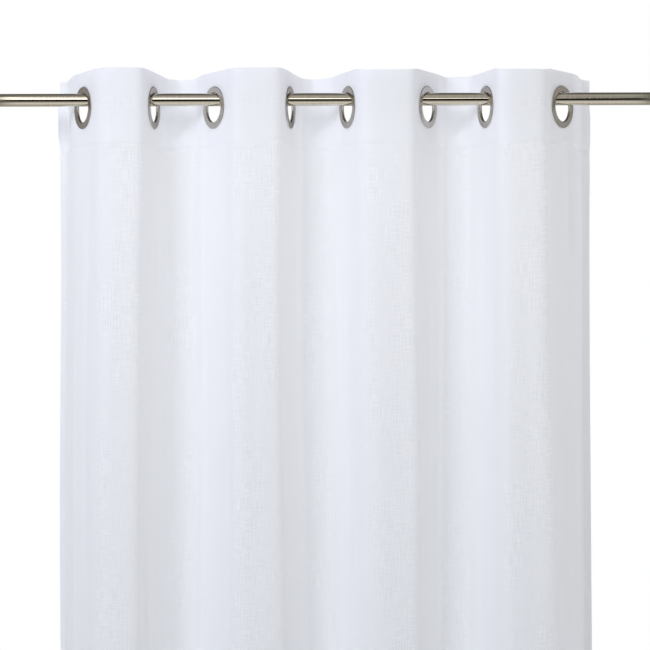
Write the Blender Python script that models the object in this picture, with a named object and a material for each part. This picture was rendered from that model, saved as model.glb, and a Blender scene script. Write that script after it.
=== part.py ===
"""Sheer voile eyelet curtain on a plain round rod.

Metres, +Z up.  The rod's axis is the X axis, from the centre of its left end
face at the origin to x = ROD_LENGTH.  The viewer stands at -Y.  The cloth is
one sheet, FLAT_WIDTH x FLAT_DROP when laid out, that snakes back and forth
across the rod: it crosses the rod at each eyelet and turns at a front fold
(-Y) or a back fold (+Y) between two eyelets.
"""
import bisect
import math

import bmesh
import bpy
from mathutils import Matrix, Vector

# ---------------------------------------------------------------- sizes
ROD_DIAMETER = 0.0170
ROD_LENGTH = 1.0000
ROD_CHAMFER = 0.0008
ROD_SIDES = 32

FLAT_WIDTH = 1.400        # the panel laid flat, edge to edge
FLAT_DROP = 2.400         # the panel laid flat, top edge to bottom edge
CLOTH = 0.0012            # thickness of the voile as built
BAND = 0.0012             # thickness of the heading band as built
BAND_DROP = 0.0970        # height of the heading band
BAND_INSET = 0.0150       # the band stops this far from the panel's side edges
PANEL_TOP = 0.0368        # top edge above the rod's axis
GAP = 0.0003              # air between two pieces that touch

EYELET_PITCH = 0.1700     # between eyelet centres, along the cloth
EYELET_MARGIN = 0.1050    # side edge to the first eyelet's centre
EYELET_BORE = 0.0196      # inner radius of the barrel at its waist
EYELET_BARREL = 0.0210    # outer radius of the barrel
EYELET_RADIUS = 0.0282    # outer radius of the flange
EYELET_RISE = 0.0026      # height of the domed flange
WASHER_RISE = 0.0016      # height of the back washer
HOLE_RADIUS = 0.0214      # hole cut in the cloth for the barrel
EYELET_SIDES = 24
EYELET_DROP = 0.0105      # eyelet centre below the rod's axis: the bore's top
#                           rests on the rod
FLAT_HALF = 0.0300        # the cloth is flat this far to each side of an eyelet

# Where the cloth crosses the rod.  lean is the angle between cloth and rod in
# plan, minus where it comes forward to the right; fore and steep are the
# angles it has just in front of the eyelet's flat and just behind it.  x_low
# and lean_low hold well below the heading, and sway is how far the crossing
# wanders sideways on the way down.
#            name        x       lean   fore   steep   x_low  lean_low  sway
EYELETS = (
    ("eyelet_1", 0.1777, -60.0, -76.0, -76.0, 0.1765, -62.0, +0.0015),
    ("eyelet_2", 0.2713, +79.0, +79.0, +75.0, 0.2690, +74.0, -0.0020),
    ("eyelet_3", 0.3521, -57.5, -64.0, -72.0, 0.3521, -56.0, +0.0030),
    ("eyelet_4", 0.4531, +78.0, +78.0, +74.0, 0.4565, +76.0, +0.0020),
    ("eyelet_5", 0.5303, -69.0, -84.0, -73.0, 0.5340, -66.0, -0.0030),
    ("eyelet_6", 0.6365, +62.5, +80.0, +75.0, 0.6400, +70.0, +0.0020),
    ("eyelet_7", 0.7144, -73.0, -84.0, -76.0, 0.7190, -68.0, -0.0025),
    ("eyelet_8", 0.8159, +53.0, +76.0, +74.0, 0.8245, +64.0, +0.0015),
)
# The turns between them, left to right.  side is -1 for a fold towards the
# viewer.  tilt slopes the fold's face (degrees), r_left and r_right round its
# two corners, sag is how far the top edge hangs below its line there.
#        side  tilt   r_left  r_right  sag
FOLDS = (
    (-1,  -2.0, 0.0240, 0.0120,  0.0006),
    (+1,  -6.0, 0.0180, 0.0240,  0.0020),
    (-1,  -3.0, 0.0140, 0.0120,  0.0008),
    (+1,  -8.0, 0.0160, 0.0240,  0.0012),
    (-1,   0.0, 0.0200, 0.0120,  0.0032),
    (+1,  -4.0, 0.0130, 0.0130, -0.0012),
    (-1,  +3.0, 0.0190, 0.0140,  0.0034),
)
# The free ends beyond the first and last eyelet: the side hem's flat lip, its
# angle to the rod, the bend before it, and how far the end hangs lower.
#          lip    angle   radius   sag
ENDS = (
    (0.0140, -30.0, 0.0080, 0.0020),
    (0.0145, +30.0, 0.0080, 0.0015),
)
STEEP_RADIUS = 0.020      # bends between an eyelet's flat and its steeper parts
CORNER_GROWTH = 0.90      # how much rounder the corners are at the hem
SWAY_LENGTH = 1.30        # one wander to and fro, down the cloth
LOW_START, LOW_END = -0.060, -0.700   # the _low columns hold from LOW_END down
# heights of the cloth's rows below the rod's axis
ROWS = (0.0368, -0.0105, -0.0602, -0.110, -0.200, -0.350, -0.550, -0.800,
        -1.100, -1.420, -1.740, -2.060, -2.3632)

# ---------------------------------------------------------------- colours
#               red    green  blue   rough  metal
MATERIALS = {
    "voile":   (0.860, 0.880, 0.930, 0.90, 0.0),
    "heading": (0.880, 0.900, 0.950, 0.85, 0.0),
    "nickel":  (0.400, 0.370, 0.330, 0.35, 1.0),
    "steel":   (0.420, 0.390, 0.340, 0.30, 1.0),
}


def material(name):
    r, g, b, rough, metal = MATERIALS[name]
    mat = bpy.data.materials.new(name)
    mat.use_nodes = True
    shader = mat.node_tree.nodes["Principled BSDF"]
    shader.inputs["Base Color"].default_value = (r, g, b, 1.0)
    shader.inputs["Roughness"].default_value = rough
    shader.inputs["Metallic"].default_value = metal
    mat.diffuse_color = (r, g, b, 1.0)
    return mat


# ---------------------------------------------------------------- plan lines
def rounded(points, radii):
    """A run of straight lines with its inner corners rounded, as pieces
    (length, start x, start y, heading, curvature)."""
    pieces = []
    start = points[0]
    for i in range(1, len(points)):
        here = points[i]
        heading = math.atan2(here[1] - points[i - 1][1], here[0] - points[i - 1][0])
        if i < len(points) - 1:
            nxt = points[i + 1]
            turn = math.atan2(nxt[1] - here[1], nxt[0] - here[0]) - heading
            turn = (turn + math.pi) % (2 * math.pi) - math.pi
        else:
            turn = 0.0
        cut = radii[i] * math.tan(abs(turn) / 2) if abs(turn) > 1e-4 else 0.0
        end = (here[0] - cut * math.cos(heading), here[1] - cut * math.sin(heading))
        length = ((end[0] - start[0]) * math.cos(heading)
                  + (end[1] - start[1]) * math.sin(heading))
        pieces.append((length, start[0], start[1], heading, 0.0))
        start = end
        if cut:
            sign = 1.0 if turn > 0 else -1.0
            pieces.append((radii[i] * abs(turn), end[0], end[1], heading, sign / radii[i]))
            out = heading + turn
            start = (here[0] + cut * math.cos(out), here[1] + cut * math.sin(out))
    return pieces


def total(pieces):
    return sum(p[0] for p in pieces)


def walk(pieces, s):
    """Position and heading at the distance s along the pieces."""
    for n, (length, x, y, heading, bend) in enumerate(pieces):
        if s <= length or n == len(pieces) - 1:
            if bend == 0.0:
                return x + s * math.cos(heading), y + s * math.sin(heading), heading
            a = heading + s * bend
            return (x + (math.sin(a) - math.sin(heading)) / bend,
                    y - (math.cos(a) - math.cos(heading)) / bend, a)
        s -= length


def solve(make, length, low, high):
    """The value between low and high for which make(value) has the length."""
    for _ in range(48):
        mid = (low + high) / 2
        if total(make(mid)) < length:
            low = mid
        else:
            high = mid
    return make((low + high) / 2)


def smooth(a, b, v):
    t = min(max((v - a) / (b - a), 0.0), 1.0)
    return t * t * (3 - 2 * t)


def crossing(k, z):
    """x, lean, fore and steep (radians) of the cloth's k-th crossing at
    height z."""
    _, x, lean, fore, steep, x_low, lean_low, sway = EYELETS[k]
    t = smooth(LOW_START, LOW_END, z)
    x += (x_low - x) * t
    x += sway * t * math.sin(2 * math.pi * (z - LOW_START) / SWAY_LENGTH + 1.7 * k)
    lean += (lean_low - lean) * t
    return x, math.radians(lean), math.radians(fore), math.radians(steep)


def fold(k, z):
    """The cloth between crossings k and k + 1, at height z."""
    side, tilt, r_left, r_right, _ = FOLDS[k]
    xa, lean_a, fore_a, steep_a = crossing(k, z)
    xb, lean_b, fore_b, steep_b = crossing(k + 1, z)
    grow = 1.0 + CORNER_GROWTH * smooth(LOW_START, ROWS[-1], z)
    knee = FLAT_HALF + 0.003
    ka = (xa + knee * math.cos(lean_a), knee * math.sin(lean_a))
    kb = (xb - knee * math.cos(lean_b), -knee * math.sin(lean_b))
    out_a, out_b = (steep_a, steep_b) if side > 0 else (fore_a, fore_b)

    def make(depth):
        drop = math.tan(math.radians(tilt)) * (xb - xa) / 2
        ya, yb = side * depth - drop / 2, side * depth + drop / 2
        pts = [(xa, 0.0), ka, (ka[0] + (ya - ka[1]) / math.tan(out_a), ya),
               (kb[0] + (yb - kb[1]) / math.tan(out_b), yb), kb, (xb, 0.0)]
        return rounded(pts, [0.0, STEEP_RADIUS, r_left * grow, r_right * grow,
                             STEEP_RADIUS, 0.0])

    return solve(make, EYELET_PITCH, 0.036, 0.095)


def end(which, z):
    """The cloth between a side edge and the nearest crossing; which is 0 for
    the left end and 1 for the right one."""
    lip, angle, radius, _ = ENDS[which]
    x, lean, _, steep = crossing(7 * which, z)
    way = 1 if which else -1
    knee = FLAT_HALF + 0.003
    k = (x + way * knee * math.cos(lean), way * knee * math.sin(lean))

    def make(run):
        bend = (k[0] + way * run * math.cos(steep), k[1] + way * run * math.sin(steep))
        a = math.radians(angle)
        tip = (bend[0] + way * lip * math.cos(a), bend[1] + way * lip * math.sin(a))
        pts = [(x, 0.0), k, bend, tip]
        rad = [0.0, STEEP_RADIUS, radius, 0.0]
        if not which:
            pts.reverse()
            rad.reverse()
        return rounded(pts, rad)

    return solve(make, EYELET_MARGIN, 0.020, 0.110)


def runs(z):
    """Every stretch of the cloth at height z, with the cloth distance it
    starts at."""
    out = [(0.0, end(0, z))]
    for k in range(len(FOLDS)):
        out.append((EYELET_MARGIN + k * EYELET_PITCH, fold(k, z)))
    out.append((EYELET_MARGIN + len(FOLDS) * EYELET_PITCH, end(1, z)))
    return out


def place(stretches, u):
    n = bisect.bisect_right([s[0] for s in stretches], u) - 1
    n = min(max(n, 0), len(stretches) - 1)
    return walk(stretches[n][1], u - stretches[n][0])


def sag(u):
    """How far the cloth hangs below its line, at the cloth distance u."""
    first, last = EYELET_MARGIN, FLAT_WIDTH - EYELET_MARGIN
    if u < first:
        return ENDS[0][3] * smooth(first - FLAT_HALF, 0.0, u)
    if u > last:
        return ENDS[1][3] * smooth(last + FLAT_HALF, FLAT_WIDTH, u)
    k = min(int((u - first) / EYELET_PITCH), len(FOLDS) - 1)
    v = u - first - k * EYELET_PITCH
    a, b = FLAT_HALF, EYELET_PITCH - FLAT_HALF
    if not a < v < b:
        return 0.0
    w = min(v - a, b - v) / (b - a)
    return FOLDS[k][4] * smooth(0.0, 0.30, w)


def columns():
    """Cloth distances of the sheet's columns: the ends of every straight part
    at the heading, the edges of the flat round each eyelet, and steps along
    every bend."""
    marks = {0.0, FLAT_WIDTH}
    for start, pieces in runs(PANEL_TOP):
        s = start
        for length, _, _, _, bend in pieces:
            if bend:
                steps = max(1, round(length * abs(bend) / math.radians(20)))
                marks.update(s + length * i / steps for i in range(steps + 1))
            s += length
    centres = [EYELET_MARGIN + k * EYELET_PITCH for k in range(len(EYELETS))]
    for c in centres:
        marks.update((c - FLAT_HALF, c + FLAT_HALF))
    keep = []
    for m in sorted(marks):
        inside = any(abs(m - c) < FLAT_HALF - 1e-6 for c in centres)
        if not inside and (not keep or m - keep[-1] > 0.0015):
            keep.append(m)
    keep[-1] = FLAT_WIDTH
    wide = []
    for a, b in zip(keep, keep[1:]):
        wide.append(a)
        across = any(a < c < b for c in centres)
        if not across:
            n = int((b - a) / 0.045)
            wide += [a + (b - a) * i / (n + 1) for i in range(1, n + 1)]
    return wide + [keep[-1]]


# ---------------------------------------------------------------- solids
def sheet(name, us, rows, front, back):
    """A closed sheet over columns us and heights rows.  front and back are
    its two faces' distances behind the cloth's middle surface."""
    bm = bmesh.new()
    faces = [[], []]
    for z in rows:
        stretches = runs(z)
        line = [place(stretches, u) for u in us]
        for side, off in enumerate((front, back)):
            faces[side].append([
                bm.verts.new((x - off * math.sin(a), y + off * math.cos(a), z - sag(u)))
                for (x, y, a), u in zip(line, us)])
    f, b = faces
    n, m = len(us), len(rows)
    for j in range(m - 1):
        for i in range(n - 1):
            bm.faces.new((f[j][i], f[j + 1][i], f[j + 1][i + 1], f[j][i + 1]))
            bm.faces.new((b[j][i], b[j][i + 1], b[j + 1][i + 1], b[j + 1][i]))
        bm.faces.new((f[j][0], b[j][0], b[j + 1][0], f[j + 1][0]))
        bm.faces.new((f[j][-1], f[j + 1][-1], b[j + 1][-1], b[j][-1]))
    for i in range(n - 1):
        bm.faces.new((f[0][i], f[0][i + 1], b[0][i + 1], b[0][i]))
        bm.faces.new((f[-1][i], b[-1][i], b[-1][i + 1], f[-1][i + 1]))
    bmesh.ops.recalc_face_normals(bm, faces=bm.faces)
    mesh = bpy.data.meshes.new(name)
    bm.to_mesh(mesh)
    bm.free()
    mesh.shade_smooth()
    mesh.set_sharp_from_angle(angle=math.radians(40))
    obj = bpy.data.objects.new(name, mesh)
    bpy.context.collection.objects.link(obj)
    return obj


def turned(name, profile, sides, frame, phase=0.0):
    """A ring turned from a closed profile of (radius, height) points, its axis
    the frame's Z."""
    bm = bmesh.new()
    loops = []
    for i in range(sides):
        a = phase + 2 * math.pi * i / sides
        loops.append([bm.verts.new((r * math.cos(a), r * math.sin(a), h)) for r, h in profile])
    m = len(profile)
    for i in range(sides):
        p, q = loops[i], loops[(i + 1) % sides]
        for j in range(m):
            k = (j + 1) % m
            bm.faces.new((p[j], q[j], q[k], p[k]))
    bmesh.ops.recalc_face_normals(bm, faces=bm.faces)
    mesh = bpy.data.meshes.new(name)
    bm.to_mesh(mesh)
    bm.free()
    mesh.shade_smooth()
    mesh.set_sharp_from_angle(angle=math.radians(42))
    obj = bpy.data.objects.new(name, mesh)
    obj.matrix_world = frame
    bpy.context.collection.objects.link(obj)
    return obj


def eyelet_frame(k):
    """The place of eyelet k: Z out of the cloth's front face, Y up."""
    x, lean = EYELETS[k][1:3]
    a = math.radians(lean)
    out = Vector((math.sin(a), -math.cos(a), 0.0))
    up = Vector((0.0, 0.0, 1.0))
    side = up.cross(out)
    m = Matrix((side, up, out)).transposed().to_4x4()
    m.translation = Vector((x, 0.0, -EYELET_DROP))
    return m


def paint(obj, mat):
    obj.data.materials.append(mat)
    return obj


def build():
    for obj in list(bpy.data.objects):
        bpy.data.objects.remove(obj, do_unlink=True)
    mats = {name: material(name) for name in MATERIALS}
    us = columns()
    half = CLOTH / 2

    panel = paint(sheet("panel", us, ROWS, -half, half), mats["voile"])
    band_us = ([BAND_INSET] + [u for u in us
                               if BAND_INSET + 0.002 < u < FLAT_WIDTH - BAND_INSET - 0.002]
               + [FLAT_WIDTH - BAND_INSET])
    band_rows = (PANEL_TOP - 0.0015, -EYELET_DROP, PANEL_TOP - BAND_DROP)
    band = paint(sheet("heading_band", band_us, band_rows, half + GAP, half + GAP + BAND),
                 mats["heading"])

    # one cutter for the eight holes
    bm = bmesh.new()
    for k in range(len(EYELETS)):
        bmesh.ops.create_cone(bm, cap_ends=True, segments=EYELET_SIDES, radius1=HOLE_RADIUS,
                              radius2=HOLE_RADIUS, depth=0.012, matrix=eyelet_frame(k))
    mesh = bpy.data.meshes.new("eyelet_punch")
    bm.to_mesh(mesh)
    bm.free()
    punch = bpy.data.objects.new("eyelet_punch", mesh)
    punch.hide_render = True
    punch.display_type = 'WIRE'
    bpy.context.collection.objects.link(punch)
    for cloth in (panel, band):
        cut = cloth.modifiers.new("eyelet_holes", 'BOOLEAN')
        cut.operation = 'DIFFERENCE'
        cut.solver = 'EXACT'
        cut.object = punch

    # eyelet fronts: flange on the cloth's face, barrel through it
    base = half + GAP
    tail = -(half + GAP + BAND + GAP)            # behind the band
    top = base + EYELET_RISE
    foot = tail - WASHER_RISE + 0.0003
    bore, barrel, rim = EYELET_BORE, EYELET_BARREL, EYELET_RADIUS
    front_profile = (
        (bore, (base + tail) / 2), (bore + 0.0010, top - 0.0008),
        (bore + 0.0026, top), (rim - 0.0028, top - 0.0003),
        (rim, base + 0.0008), (rim - 0.0004, base),
        (barrel, base), (barrel, foot), (bore + 0.0006, foot),
    )
    inner = HOLE_RADIUS
    back_profile = (
        (inner, tail), (rim, tail),
        (rim - 0.0018, tail - WASHER_RISE), (inner, tail - WASHER_RISE),
    )
    # the punch's flats line up with the barrel's, so the gap between is even
    for k, row in enumerate(EYELETS):
        place_k = eyelet_frame(k)
        paint(turned(row[0], front_profile, EYELET_SIDES, place_k, math.pi / 2), mats["nickel"])
        paint(turned(row[0].replace("eyelet_", "eyelet_back_"), back_profile, EYELET_SIDES,
                     place_k, math.pi / 2), mats["nickel"])

    # the rod: a round bar with a small chamfer at each flat end
    bm = bmesh.new()
    r, c, length = ROD_DIAMETER / 2, ROD_CHAMFER, ROD_LENGTH
    rings = []
    for x, rr in ((0.0, r - c), (c, r), (length - c, r), (length, r - c)):
        rings.append([bm.verts.new((x, rr * math.cos(2 * math.pi * i / ROD_SIDES),
                                    rr * math.sin(2 * math.pi * i / ROD_SIDES)))
                      for i in range(ROD_SIDES)])
    for a, b in zip(rings, rings[1:]):
        for i in range(ROD_SIDES):
            j = (i + 1) % ROD_SIDES
            bm.faces.new((a[i], a[j], b[j], b[i]))
    bm.faces.new(rings[0])
    bm.faces.new(rings[-1])
    bmesh.ops.recalc_face_normals(bm, faces=bm.faces)
    mesh = bpy.data.meshes.new("rod")
    bm.to_mesh(mesh)
    bm.free()
    mesh.shade_smooth()
    mesh.set_sharp_from_angle(angle=math.radians(35))
    rod = bpy.data.objects.new("rod", mesh)
    bpy.context.collection.objects.link(rod)
    paint(rod, mats["steel"])


build()
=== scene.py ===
"""Looks of the sheer voile eyelet curtain on its round rod.

Metres, +Z up, the rod's axis along +X from the origin, the viewer at -Y.  Cloth
distances: u runs along the cloth from its left side edge, v down from its top
edge.
"""
import bisect
import math

import bmesh
import bpy
import numpy as np
from mathutils import Matrix, Vector, noise


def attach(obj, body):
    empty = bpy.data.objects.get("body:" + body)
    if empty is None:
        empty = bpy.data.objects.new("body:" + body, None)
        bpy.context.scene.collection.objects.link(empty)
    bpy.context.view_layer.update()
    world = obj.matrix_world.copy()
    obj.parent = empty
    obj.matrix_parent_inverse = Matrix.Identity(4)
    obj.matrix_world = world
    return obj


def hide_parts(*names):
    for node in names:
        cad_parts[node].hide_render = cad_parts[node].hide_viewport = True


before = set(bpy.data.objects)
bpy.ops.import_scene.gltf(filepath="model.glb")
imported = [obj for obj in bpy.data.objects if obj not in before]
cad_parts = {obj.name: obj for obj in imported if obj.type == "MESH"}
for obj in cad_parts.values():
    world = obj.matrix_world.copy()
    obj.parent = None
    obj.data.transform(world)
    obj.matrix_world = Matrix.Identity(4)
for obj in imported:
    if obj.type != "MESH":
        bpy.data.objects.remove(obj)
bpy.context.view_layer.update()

# ------------------------------------------------ sizes shared with the solids
ROD_DIAMETER = 0.0170
ROD_LENGTH = 1.0000
ROD_CHAMFER = 0.0008
FLAT_WIDTH = 1.400
FLAT_DROP = 2.400
CLOTH = 0.0012
BAND = 0.0012
BAND_DROP = 0.0970
BAND_INSET = 0.0150
PANEL_TOP = 0.0368
GAP = 0.0003
EYELET_PITCH = 0.1700
EYELET_MARGIN = 0.1050
EYELET_BORE = 0.0196
EYELET_BARREL = 0.0210
EYELET_RADIUS = 0.0282
EYELET_RISE = 0.0026
WASHER_RISE = 0.0016
HOLE_RADIUS = 0.0214
EYELET_DROP = 0.0105
FLAT_HALF = 0.0300

#            name        x       lean   fore   steep   x_low  lean_low  sway
EYELETS = (
    ("eyelet_1", 0.1777, -60.0, -76.0, -76.0, 0.1765, -62.0, +0.0015),
    ("eyelet_2", 0.2713, +79.0, +79.0, +75.0, 0.2690, +74.0, -0.0020),
    ("eyelet_3", 0.3521, -57.5, -64.0, -72.0, 0.3521, -56.0, +0.0030),
    ("eyelet_4", 0.4531, +78.0, +78.0, +74.0, 0.4565, +76.0, +0.0020),
    ("eyelet_5", 0.5303, -69.0, -84.0, -73.0, 0.5340, -66.0, -0.0030),
    ("eyelet_6", 0.6365, +62.5, +80.0, +75.0, 0.6400, +70.0, +0.0020),
    ("eyelet_7", 0.7144, -73.0, -84.0, -76.0, 0.7190, -68.0, -0.0025),
    ("eyelet_8", 0.8159, +53.0, +76.0, +74.0, 0.8245, +64.0, +0.0015),
)
#        side  tilt   r_left  r_right  sag
FOLDS = (
    (-1,  -2.0, 0.0240, 0.0120,  0.0006),
    (+1,  -6.0, 0.0180, 0.0240,  0.0020),
    (-1,  -3.0, 0.0140, 0.0120,  0.0008),
    (+1,  -8.0, 0.0160, 0.0240,  0.0012),
    (-1,   0.0, 0.0200, 0.0120,  0.0032),
    (+1,  -4.0, 0.0130, 0.0130, -0.0012),
    (-1,  +3.0, 0.0190, 0.0140,  0.0034),
)
#          lip    angle   radius   sag
ENDS = (
    (0.0140, -30.0, 0.0080, 0.0020),
    (0.0145, +30.0, 0.0080, 0.0015),
)
STEEP_RADIUS = 0.020
CORNER_GROWTH = 0.90
SWAY_LENGTH = 1.30
LOW_START, LOW_END = -0.060, -0.700
HEM = -2.3632             # the bottom edge, where the cloth hangs at its lowest line
SEAM = PANEL_TOP - BAND_DROP

# ------------------------------------------------ sizes of the finer make-up
VOILE_THICK = 0.0006      # one layer of the voile
STRIP_THICK = 0.0004      # the stiff mesh behind the heading
STRIP_BEHIND = 0.0010     # how far its middle lies behind the voile's
HEM_THICK = 0.0013        # its folded side and bottom hems
SIDE_HEM = 0.0110         # width of a side hem
BOTTOM_HEM = 0.0600       # height of the bottom hem
HOLE_EDGE = 0.0225        # the cloth's cut edge, hidden under the flange
HOLE_CELLS = 12           # cells across the flat square round an eyelet
HOLE_OPEN = 4             # cells from its middle to the cut edge
GAP_CELLS = 38            # cells across the cloth between two such squares
END_CELLS = 16            # cells across the cloth beyond the last one
# how far along the cloth its corners are eased, by the eyelet they are near
#        1       2       3       4       5       6       7       8
EASES = (0.0180, 0.0060, 0.0130, 0.0050, 0.0170, 0.0050, 0.0100, 0.0120)
# how much tighter than its solid the cloth turns at each fold's right corner
CRISP = (1.0, 1.0, 1.0, 1.0, 1.0, 1.0, 1.0)
DRIFT = 0.0016            # how far the cloth hangs to the left of its line, low down

# The small creases, as soft ridges (height above 0, towards the front) and
# troughs.  Each runs from (u_top, z_top) to (u_low, z_low), is soft at both
# ends, and is about twice its spread wide.
#             name             u_top   z_top    u_low   z_low   spread   height
CREASES = (
    ("back_1_tuck_a",          0.3420, +0.0480, 0.3430, -0.0060, 0.0040, +0.0014),
    ("back_1_tuck_b",          0.3560, +0.0490, 0.3550, -0.0030, 0.0048, -0.0028),
    ("back_2_tuck_a",          0.6950, +0.0490, 0.6940, -0.0040, 0.0060, -0.0030),
    ("back_2_tuck_b",          0.7180, +0.0480, 0.7200, +0.0000, 0.0060, +0.0010),
    ("back_3_tuck_a",          1.0260, +0.0490, 1.0270, -0.0040, 0.0058, -0.0026),
    ("back_3_tuck_b",          1.0460, +0.0460, 1.0450, +0.0020, 0.0060, +0.0010),
    ("left_lip_curl",          0.0000, +0.0150, 0.0020, -0.0560, 0.0080, +0.0044),
    ("left_lip_dent",          0.0190, +0.0060, 0.0150, -0.0480, 0.0070, -0.0055),
    ("right_lip_curl",         1.4000, +0.0000, 1.4000, -0.0640, 0.0060, +0.0016),
    ("front_1_pull",           0.1700, -0.0300, 0.1520, -0.0640, 0.0050, -0.0012),
    ("back_1_pull",            0.3820, -0.0040, 0.3420, -0.0560, 0.0080, -0.0036),
    ("back_1_swell",           0.3960, -0.0200, 0.3620, -0.0640, 0.0090, +0.0020),
    ("back_2_pull",            0.7260, -0.0060, 0.6880, -0.0560, 0.0080, -0.0036),
    ("back_2_swell",           0.7380, -0.0220, 0.7080, -0.0640, 0.0090, +0.0020),
    ("back_3_pull",            1.0680, -0.0100, 1.0290, -0.0560, 0.0080, -0.0032),
    ("back_3_swell",           1.0820, -0.0240, 1.0480, -0.0640, 0.0090, +0.0018),
    ("front_2_corner",         0.5480, -0.0590, 0.5860, -0.0550, 0.0030, -0.0017),
    ("front_4_tuck",           1.2140, -0.0560, 1.2640, -0.0600, 0.0032, -0.0022),
    ("right_seam_fold",        1.2920, -0.0560, 1.3920, -0.0625, 0.0034, -0.0024),
    ("right_end_ridge_a",      1.2960, -0.0520, 1.2960, -0.2000, 0.0060, +0.0020),
    ("right_end_trough",       1.3150, -0.0440, 1.3180, -0.2300, 0.0060, -0.0034),
    ("right_end_ridge_b",      1.3380, -0.0560, 1.3380, -0.2100, 0.0065, +0.0020),
    ("front_2_edge",           0.4960, -0.0500, 0.4950, -0.9000, 0.0050, +0.0012),
    ("front_4_edge",           1.1830, -0.2500, 1.1840, -1.1000, 0.0055, +0.0010),
    ("flank_2_line",           0.2520, -0.4800, 0.2560, -1.5000, 0.0070, +0.0024),
    ("front_1_soft",           0.1960, -0.1200, 0.1900, -0.8200, 0.0100, -0.0014),
    ("front_2_soft",           0.5260, -0.1500, 0.5320, -0.7500, 0.0110, -0.0014),
    ("front_3_soft",           0.8850, -0.1000, 0.8780, -0.9500, 0.0120, -0.0016),
    ("front_4_soft",           1.2080, -0.2000, 1.2140, -0.9000, 0.0100, -0.0012),
    ("left_end_soft",          0.0700, -0.2200, 0.0640, -0.9000, 0.0120, +0.0016),
    ("left_end_line",          0.1180, -0.1000, 0.1200, -0.7000, 0.0080, -0.0010),
)


# ------------------------------------------------ the cloth's plan lines
def rounded(points, radii):
    pieces = []
    start = points[0]
    for i in range(1, len(points)):
        here = points[i]
        heading = math.atan2(here[1] - points[i - 1][1], here[0] - points[i - 1][0])
        if i < len(points) - 1:
            nxt = points[i + 1]
            turn = math.atan2(nxt[1] - here[1], nxt[0] - here[0]) - heading
            turn = (turn + math.pi) % (2 * math.pi) - math.pi
        else:
            turn = 0.0
        cut = radii[i] * math.tan(abs(turn) / 2) if abs(turn) > 1e-4 else 0.0
        end_at = (here[0] - cut * math.cos(heading), here[1] - cut * math.sin(heading))
        length = ((end_at[0] - start[0]) * math.cos(heading)
                  + (end_at[1] - start[1]) * math.sin(heading))
        pieces.append((length, start[0], start[1], heading, 0.0))
        start = end_at
        if cut:
            sign = 1.0 if turn > 0 else -1.0
            pieces.append((radii[i] * abs(turn), end_at[0], end_at[1], heading, sign / radii[i]))
            out = heading + turn
            start = (here[0] + cut * math.cos(out), here[1] + cut * math.sin(out))
    return pieces


def total(pieces):
    return sum(p[0] for p in pieces)


def walk(pieces, s):
    for n, (length, x, y, heading, bend) in enumerate(pieces):
        if s <= length or n == len(pieces) - 1:
            if bend == 0.0:
                return x + s * math.cos(heading), y + s * math.sin(heading), heading
            a = heading + s * bend
            return (x + (math.sin(a) - math.sin(heading)) / bend,
                    y - (math.cos(a) - math.cos(heading)) / bend, a)
        s -= length


def solve(make, length, low, high):
    for _ in range(40):
        mid = (low + high) / 2
        if total(make(mid)) < length:
            low = mid
        else:
            high = mid
    return make((low + high) / 2)


def smooth(a, b, v):
    t = min(max((v - a) / (b - a), 0.0), 1.0)
    return t * t * (3 - 2 * t)


def crossing(k, z):
    _, x, lean, fore, steep, x_low, lean_low, sway = EYELETS[k]
    t = smooth(LOW_START, LOW_END, z)
    x += (x_low - x) * t
    x += sway * t * math.sin(2 * math.pi * (z - LOW_START) / SWAY_LENGTH + 1.7 * k)
    lean += (lean_low - lean) * t
    return x, math.radians(lean), math.radians(fore), math.radians(steep)


def fold(k, z):
    side, tilt, r_left, r_right, _ = FOLDS[k]
    xa, lean_a, fore_a, steep_a = crossing(k, z)
    xb, lean_b, fore_b, steep_b = crossing(k + 1, z)
    grow = 1.0 + CORNER_GROWTH * smooth(LOW_START, HEM, z)
    r_right *= CRISP[k]
    knee = FLAT_HALF + 0.003
    ka = (xa + knee * math.cos(lean_a), knee * math.sin(lean_a))
    kb = (xb - knee * math.cos(lean_b), -knee * math.sin(lean_b))
    out_a, out_b = (steep_a, steep_b) if side > 0 else (fore_a, fore_b)

    def make(depth):
        drop = math.tan(math.radians(tilt)) * (xb - xa) / 2
        ya, yb = side * depth - drop / 2, side * depth + drop / 2
        pts = [(xa, 0.0), ka, (ka[0] + (ya - ka[1]) / math.tan(out_a), ya),
               (kb[0] + (yb - kb[1]) / math.tan(out_b), yb), kb, (xb, 0.0)]
        return rounded(pts, [0.0, STEEP_RADIUS, r_left * grow, r_right * grow,
                             STEEP_RADIUS, 0.0])

    return solve(make, EYELET_PITCH, 0.036, 0.095)


def end(which, z):
    lip, angle, radius, _ = ENDS[which]
    x, lean, _, steep = crossing(7 * which, z)
    way = 1 if which else -1
    knee = FLAT_HALF + 0.003
    k = (x + way * knee * math.cos(lean), way * knee * math.sin(lean))

    def make(run):
        bend = (k[0] + way * run * math.cos(steep), k[1] + way * run * math.sin(steep))
        a = math.radians(angle)
        tip = (bend[0] + way * lip * math.cos(a), bend[1] + way * lip * math.sin(a))
        pts = [(x, 0.0), k, bend, tip]
        rad = [0.0, STEEP_RADIUS, radius, 0.0]
        if not which:
            pts.reverse()
            rad.reverse()
        return rounded(pts, rad)

    return solve(make, EYELET_MARGIN, 0.020, 0.110)


RUNS = {}


def runs(z):
    """Every stretch of the cloth at height z; above LOW_START they are alike."""
    key = round(min(z, LOW_START), 6)
    if key not in RUNS:
        out = [(0.0, end(0, key))]
        for k in range(len(FOLDS)):
            out.append((EYELET_MARGIN + k * EYELET_PITCH, fold(k, key)))
        out.append((EYELET_MARGIN + len(FOLDS) * EYELET_PITCH, end(1, key)))
        RUNS[key] = out
    return RUNS[key]


def place(z, u):
    stretches = runs(z)
    n = bisect.bisect_right([s[0] for s in stretches], u) - 1
    n = min(max(n, 0), len(stretches) - 1)
    return walk(stretches[n][1], u - stretches[n][0])


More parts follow.
